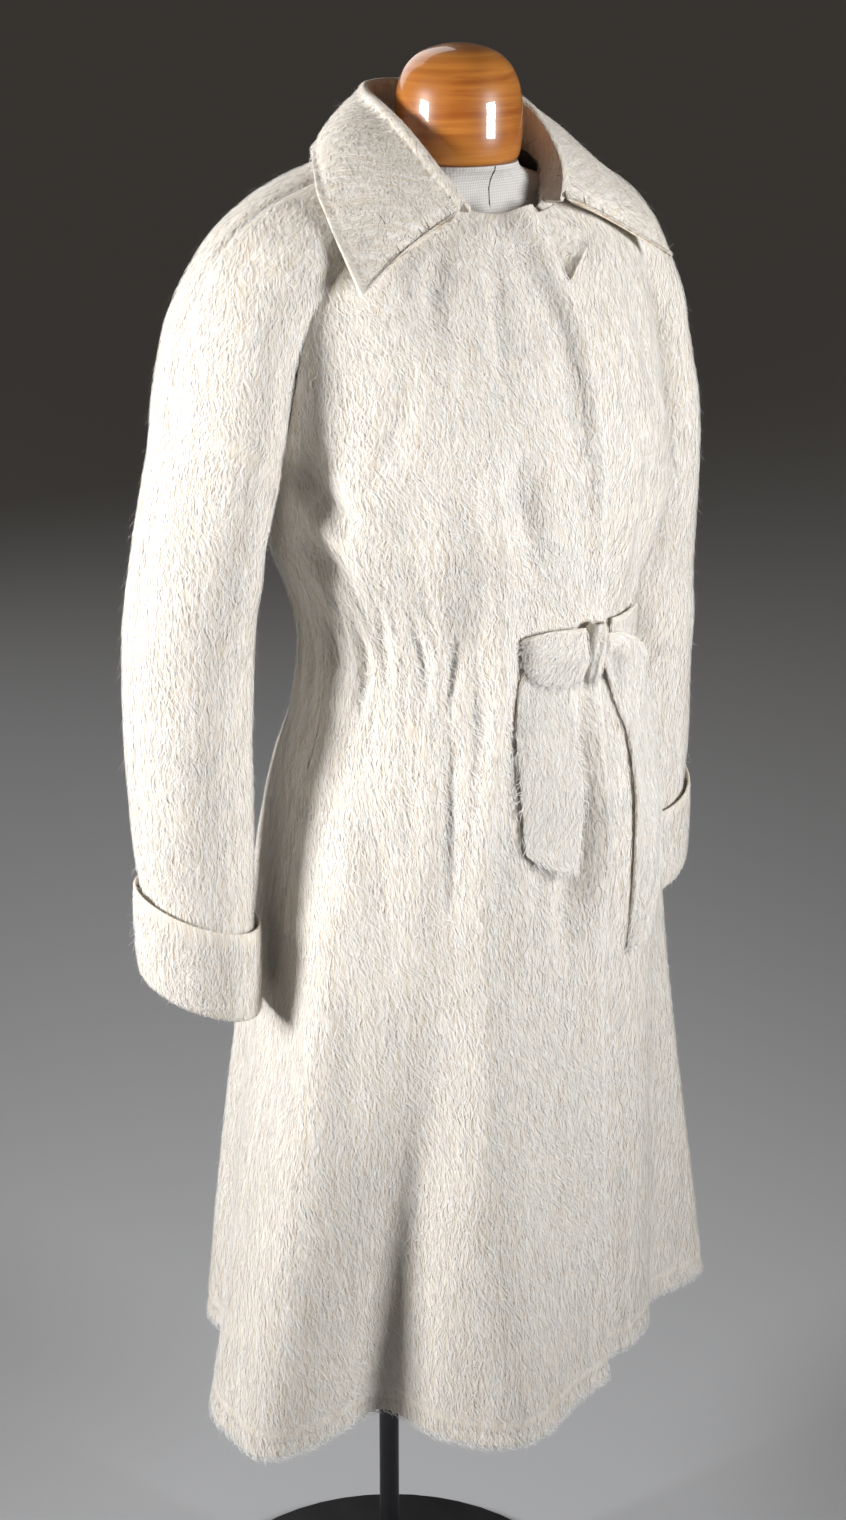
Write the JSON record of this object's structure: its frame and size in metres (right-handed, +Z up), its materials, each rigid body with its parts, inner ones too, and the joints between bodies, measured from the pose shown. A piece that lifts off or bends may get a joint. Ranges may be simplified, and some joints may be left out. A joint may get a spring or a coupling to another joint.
{
  "type": "wool coat on a dress form",
  "caption": "Belted raglan coat of long-napped cream wool with a wide pointed collar, turned-back cuffs and a gathered waist, on a limbless dress form with a pole and round base.",
  "frame": {"origin": "centre of the round base's underside, on the floor, on the pole's axis", "axes": "+Z up; the front of the coat faces -Y; the wearer's left is +X"},
  "size_m": [0.6035, 0.5011, 1.5303],
  "materials": {
    "wool": "long brushed nap",
    "belt_wool": "long brushed nap",
    "linen": "plain weave",
    "varnished_wood": "gloss varnish",
    "dark_metal": "satin"
  },
  "bodies": {
    "root": {"right_front": "wool", "left_front": "wool", "left_front_turned_corner": "wool", "back": "wool", "right_sleeve_front": "wool", "right_sleeve_back": "wool", "left_sleeve_front": "wool", "left_sleeve_back": "wool", "right_cuff": "wool", "left_cuff": "wool", "collar": "wool", "belt_right_band": "belt_wool", "belt_left_band": "belt_wool", "belt_knot": "belt_wool", "belt_short_end": "belt_wool", "belt_long_end": "belt_wool", "form_torso": "linen", "neck_cap": "varnished_wood", "pole": "dark_metal", "base": "dark_metal"}
  },
  "joints": []
}
